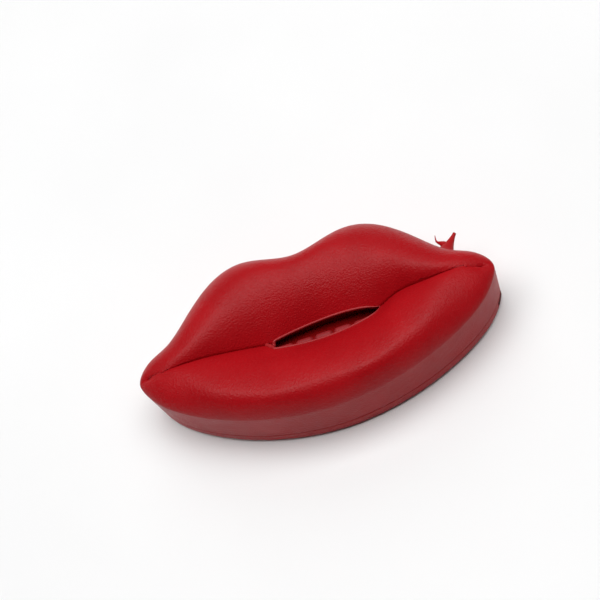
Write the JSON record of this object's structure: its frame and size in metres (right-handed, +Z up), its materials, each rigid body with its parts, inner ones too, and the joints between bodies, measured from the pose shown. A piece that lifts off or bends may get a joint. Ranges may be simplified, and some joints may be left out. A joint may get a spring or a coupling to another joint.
{
  "type": "novelty telephone",
  "caption": "One-piece corded novelty telephone shaped like closed red lips, standing on its underside, with keypad, earpiece, mouthpiece and hook plunger underneath.",
  "frame": {"origin": "centre of the bounding box on the plane of the feet", "axes": "+X along the lips from the earpiece end to the mouthpiece end, +Y towards the upper lip and the cord gland, +Z up out of the lips"},
  "size_m": [0.22, 0.1098, 0.052],
  "materials": {
    "shell_red": "satin, finely pebbled moulded plastic, red",
    "mouth_red": "satin moulded plastic, darker red",
    "trim_red": "satin moulded plastic, red",
    "gland_red": "soft moulded plastic, red",
    "grey_rubber": "matt silicone rubber, grey",
    "key_ivory": "semi-gloss moulded plastic, ivory with dark printed characters",
    "plunger_ivory": "semi-gloss moulded plastic, ivory",
    "terminal_ivory": "satin moulded plastic, ivory",
    "foam": "open-cell foam, dark grey",
    "black_rubber": "matt rubber, black",
    "lead_black": "soft sheathed wire, black",
    "foot_rubber": "matt rubber, black",
    "black_plastic": "satin moulded plastic, black",
    "knob_black": "satin moulded plastic, black",
    "knob_red": "satin moulded plastic, dark red",
    "switch_steel": "plated steel",
    "transformer_steel": "laminated steel with a wound coil",
    "spring_steel": "spring wire",
    "blue_sleeve": "shrink sleeve, dark blue",
    "board_green": "fibreglass board with green solder mask",
    "disc_brass": "thin brass disc",
    "screw_steel": "zinc-plated steel"
  },
  "bodies": {
    "phone": {"upper_shell": "shell_red", "lower_shell": "shell_red", "mouth_well": "mouth_red", "teeth_row": "mouth_red", "keypad_bezel": "trim_red", "earpiece_cap": "trim_red", "mouthpiece_cap": "trim_red", "cord_gland": "gland_red", "keypad_membrane": "grey_rubber", "line_terminal": "terminal_ivory", "earpiece_gasket": "foam", "microphone_boot": "black_rubber", "receiver_lead": "lead_black", "microphone_lead": "lead_black", "foot_1": "foot_rubber", "foot_2": "foot_rubber", "foot_3": "foot_rubber", "foot_4": "foot_rubber", "receiver_capsule": "black_plastic", "hook_bracket": "black_plastic", "hook_switch": "black_plastic", "ringer_cup": "black_plastic", "dialler_chip": "black_plastic", "microphone_capsule": "switch_steel", "mode_switch_body": "switch_steel", "ringer_switch_body": "switch_steel", "line_transformer": "transformer_steel", "hook_spring": "spring_steel", "smoothing_capacitor": "blue_sleeve", "main_board": "board_green", "ringer_disc": "disc_brass", "case_screw_1": "screw_steel", "case_screw_2": "screw_steel", "case_screw_3": "screw_steel", "case_screw_4": "screw_steel", "board_screw_1": "screw_steel", "board_screw_2": "screw_steel", "board_screw_3": "screw_steel", "board_screw_4": "screw_steel", "well_screw_1": "screw_steel", "well_screw_2": "screw_steel"},
    "key_1": {"key_1": "key_ivory"},
    "key_2": {"key_2": "key_ivory"},
    "key_3": {"key_3": "key_ivory"},
    "key_4": {"key_4": "key_ivory"},
    "key_5": {"key_5": "key_ivory"},
    "key_6": {"key_6": "key_ivory"},
    "key_7": {"key_7": "key_ivory"},
    "key_8": {"key_8": "key_ivory"},
    "key_9": {"key_9": "key_ivory"},
    "key_star": {"key_star": "key_ivory"},
    "key_0": {"key_0": "key_ivory"},
    "key_hash": {"key_hash": "key_ivory"},
    "redial_key": {"redial_key": "key_ivory"},
    "mute_key": {"mute_key": "key_ivory"},
    "hook_plunger": {"hook_plunger": "plunger_ivory"},
    "mode_switch_knob": {"mode_switch_knob": "knob_black"},
    "ringer_switch_knob": {"ringer_switch_knob": "knob_red"}
  },
  "joints": [
    {"name": "key_1_press", "type": "slide", "parent": "phone", "child": "key_1", "axis": [0, 0, 1], "range_m": [0, 0.0012], "stiffness_N_per_m": 700},
    {"name": "key_2_press", "type": "slide", "parent": "phone", "child": "key_2", "axis": [0, 0, 1], "range_m": [0, 0.0012], "stiffness_N_per_m": 700},
    {"name": "key_3_press", "type": "slide", "parent": "phone", "child": "key_3", "axis": [0, 0, 1], "range_m": [0, 0.0012], "stiffness_N_per_m": 700},
    {"name": "key_4_press", "type": "slide", "parent": "phone", "child": "key_4", "axis": [0, 0, 1], "range_m": [0, 0.0012], "stiffness_N_per_m": 700},
    {"name": "key_5_press", "type": "slide", "parent": "phone", "child": "key_5", "axis": [0, 0, 1], "range_m": [0, 0.0012], "stiffness_N_per_m": 700},
    {"name": "key_6_press", "type": "slide", "parent": "phone", "child": "key_6", "axis": [0, 0, 1], "range_m": [0, 0.0012], "stiffness_N_per_m": 700},
    {"name": "key_7_press", "type": "slide", "parent": "phone", "child": "key_7", "axis": [0, 0, 1], "range_m": [0, 0.0012], "stiffness_N_per_m": 700},
    {"name": "key_8_press", "type": "slide", "parent": "phone", "child": "key_8", "axis": [0, 0, 1], "range_m": [0, 0.0012], "stiffness_N_per_m": 700},
    {"name": "key_9_press", "type": "slide", "parent": "phone", "child": "key_9", "axis": [0, 0, 1], "range_m": [0, 0.0012], "stiffness_N_per_m": 700},
    {"name": "key_star_press", "type": "slide", "parent": "phone", "child": "key_star", "axis": [0, 0, 1], "range_m": [0, 0.0012], "stiffness_N_per_m": 700},
    {"name": "key_0_press", "type": "slide", "parent": "phone", "child": "key_0", "axis": [0, 0, 1], "range_m": [0, 0.0012], "stiffness_N_per_m": 700},
    {"name": "key_hash_press", "type": "slide", "parent": "phone", "child": "key_hash", "axis": [0, 0, 1], "range_m": [0, 0.0012], "stiffness_N_per_m": 700},
    {"name": "redial_key_press", "type": "slide", "parent": "phone", "child": "redial_key", "axis": [0, 0, 1], "range_m": [0, 0.0012], "stiffness_N_per_m": 700},
    {"name": "mute_key_press", "type": "slide", "parent": "phone", "child": "mute_key", "axis": [0, 0, 1], "range_m": [0, 0.0012], "stiffness_N_per_m": 700},
    {"name": "hook_plunger_slide", "type": "slide", "parent": "phone", "child": "hook_plunger", "axis": [0, 0, -1], "range_m": [0, 0.004], "stiffness_N_per_m": 60, "springref_m": 0.008, "deforming": ["hook_spring"]},
    {"name": "mode_switch_slide", "type": "slide", "parent": "phone", "child": "mode_switch_knob", "axis": [1, 0, 0], "range_m": [0, 0.003]},
    {"name": "ringer_switch_slide", "type": "slide", "parent": "phone", "child": "ringer_switch_knob", "axis": [0, 1, 0], "range_m": [0, 0.0044]}
  ]
}
